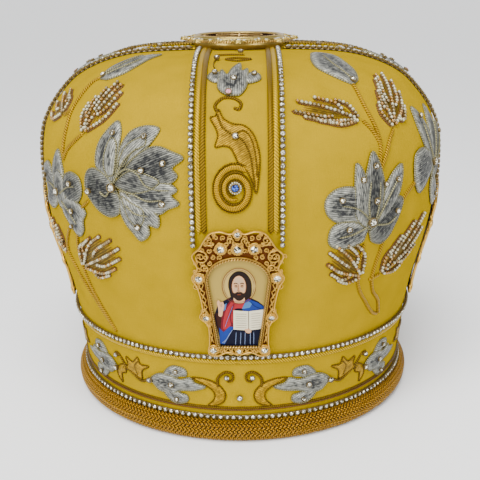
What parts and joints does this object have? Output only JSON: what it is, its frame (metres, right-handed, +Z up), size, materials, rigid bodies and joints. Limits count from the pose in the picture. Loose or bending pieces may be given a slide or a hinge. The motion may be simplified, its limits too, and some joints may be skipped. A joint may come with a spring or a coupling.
{
  "type": "bishop mitre",
  "caption": "Bulbous velvet liturgical crown on an upright head band, with crossed stone-edged bands, pierced icon plaques and a round medallion.",
  "frame": {"origin": "middle of the roll's underside, on the surface that the mitre rests on", "axes": "+Z up along the axis of the crown, -Y towards the front plaque, +X to the wearer's left"},
  "size_m": [0.2522, 0.2522, 0.2174],
  "materials": {
    "velvet": "cotton velvet, short pile",
    "gold_knit": "knitted metal cord, satin",
    "gold_braid": "woven metal-thread braid",
    "gold_thread": "embroidered metal thread",
    "silver_thread": "embroidered silver thread",
    "seed_bead": "faceted metallised glass",
    "rhinestone": "foiled cut glass in metal cups",
    "gilt_filigree": "gilt cast filigree",
    "painted_plate": "printed enamel picture"
  },
  "bodies": {
    "root": {"crown_shell": "velvet", "head_band": "velvet", "base_roll": "gold_knit", "ring_braid": "gold_braid", "ring_chain_upper": "rhinestone", "ring_chain_lower": "rhinestone", "band_braid_1": "gold_braid", "band_chain_1": "rhinestone", "band_braid_2": "gold_braid", "band_chain_2": "rhinestone", "band_braid_3": "gold_braid", "band_chain_3": "rhinestone", "band_braid_4": "gold_braid", "band_chain_4": "rhinestone", "band_braid_5": "gold_braid", "band_chain_5": "rhinestone", "band_braid_6": "gold_braid", "band_chain_6": "rhinestone", "band_braid_7": "gold_braid", "band_chain_7": "rhinestone", "band_braid_8": "gold_braid", "band_chain_8": "rhinestone", "icon_frame_front": "gilt_filigree", "icon_plate_front": "painted_plate", "icon_frame_right": "gilt_filigree", "icon_plate_right": "painted_plate", "icon_frame_back": "gilt_filigree", "icon_plate_back": "painted_plate", "icon_frame_left": "gilt_filigree", "icon_plate_left": "painted_plate", "top_frame": "gilt_filigree", "top_plate": "painted_plate", "lobe_flower_large_left_front": "silver_thread", "lobe_flower_large_left_back": "silver_thread", "lobe_flower_small_left_front": "silver_thread", "lobe_flower_small_left_back": "silver_thread", "lobe_flower_large_right_front": "silver_thread", "lobe_flower_large_right_back": "silver_thread", "lobe_flower_small_right_front": "silver_thread", "lobe_flower_small_right_back": "silver_thread", "lobe_bud_left_front": "silver_thread", "lobe_bud_left_back": "silver_thread", "lobe_bud_right_front": "silver_thread", "lobe_bud_right_back": "silver_thread", "band_tulip_front": "silver_thread", "band_tulip_right": "silver_thread", "band_tulip_back": "silver_thread", "band_tulip_left": "silver_thread"}
  },
  "joints": []
}
